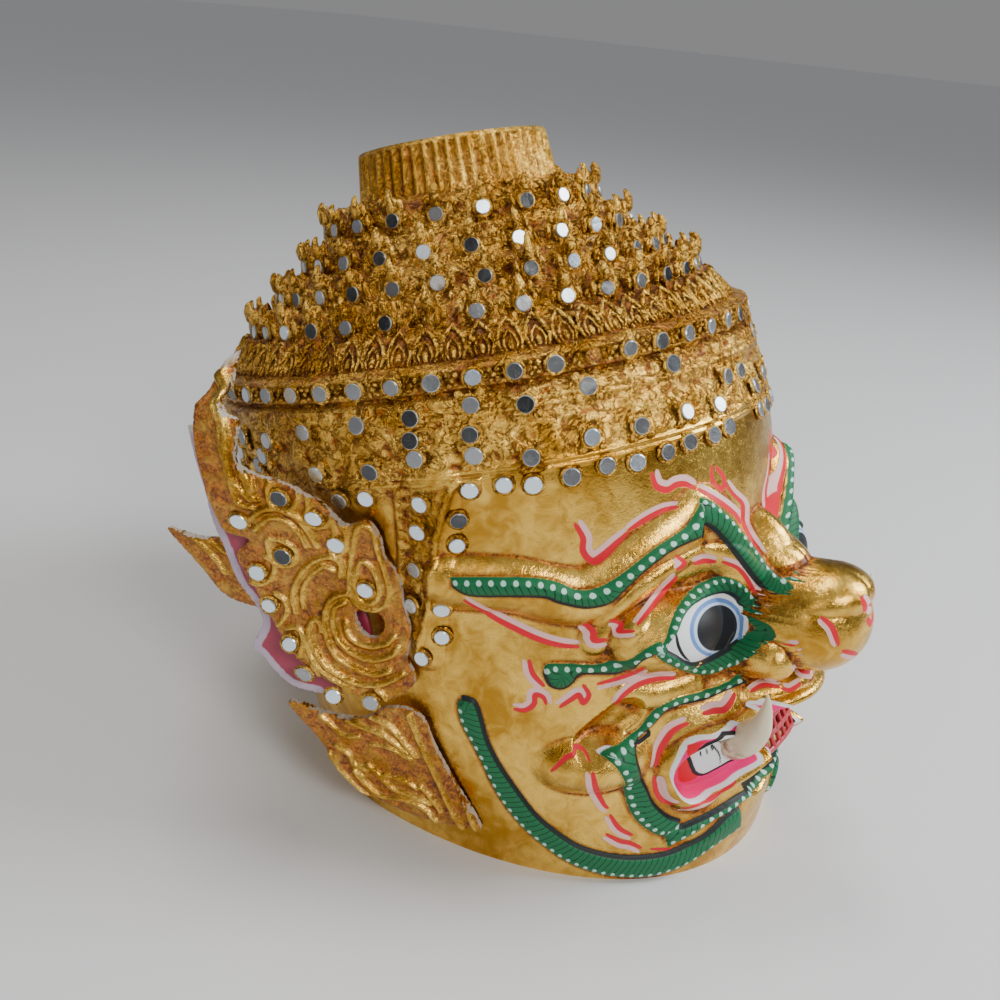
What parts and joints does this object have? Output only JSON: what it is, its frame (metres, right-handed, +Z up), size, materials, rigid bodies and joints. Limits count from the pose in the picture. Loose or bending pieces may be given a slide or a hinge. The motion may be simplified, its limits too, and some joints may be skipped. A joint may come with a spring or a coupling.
{
  "type": "khon mask",
  "caption": "Full-head gilded demon dance mask with a stepped spiked crown, flared ear plates, jaw plates and tusks, hollow and open below for the wearer's head.",
  "frame": {"origin": "middle of the mask's bounding box in plan, on the ground that the rim stands on", "axes": "+Z up, the face looks along -Y, +X towards the mask's own left; the crown leans back from +Z towards +Y"},
  "size_m": [0.275, 0.2878, 0.2604],
  "materials": {
    "gold_leaf": "gold leaf over lacquered papier-mache, satin to glossy",
    "red_lacquer": "red lacquer paint, satin",
    "ivory_paint": "cream paint, satin"
  },
  "bodies": {
    "root": {"head_shell": "gold_leaf", "crown_collar": "gold_leaf", "ear_plate_left": "gold_leaf", "ear_plate_right": "gold_leaf", "jaw_plate_left": "gold_leaf", "jaw_plate_right": "gold_leaf", "rear_flame_left": "gold_leaf", "rear_flame_right": "gold_leaf", "ear_backing_left": "red_lacquer", "ear_backing_right": "red_lacquer", "mouth_lattice": "red_lacquer", "tusk_left": "ivory_paint", "tusk_right": "ivory_paint"}
  },
  "joints": []
}
